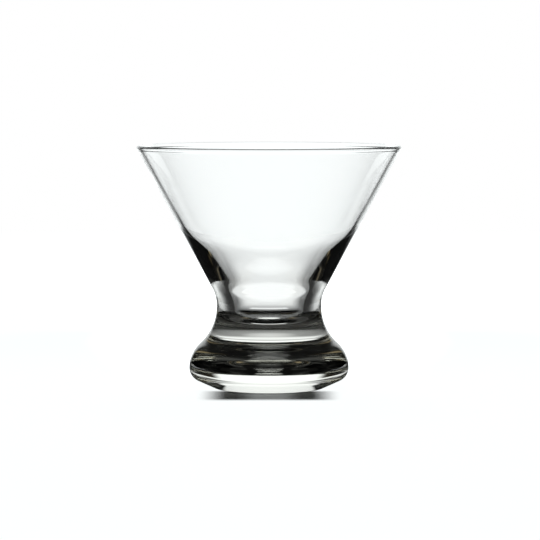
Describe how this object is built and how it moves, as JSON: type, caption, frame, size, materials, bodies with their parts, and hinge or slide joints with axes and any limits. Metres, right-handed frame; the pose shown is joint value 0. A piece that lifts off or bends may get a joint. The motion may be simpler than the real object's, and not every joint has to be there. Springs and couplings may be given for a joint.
{
  "type": "stemless dessert glass",
  "caption": "Clear stemless dessert glass: a wide conical bowl narrows to a waist and stands on a heavy, round-bellied solid base.",
  "frame": {"origin": "centre of the foot, on the plane that the glass stands on", "axes": "+Z along the glass's axis, up towards the rim; the glass is round, so +X and +Y are free"},
  "size_m": [0.106, 0.106, 0.0975],
  "materials": {
    "clear_glass": "clear pressed soda-lime glass, fire-polished and smooth, faintly grey-green where it is thick"
  },
  "bodies": {
    "root": {"glass_body": "clear_glass"}
  },
  "joints": []
}
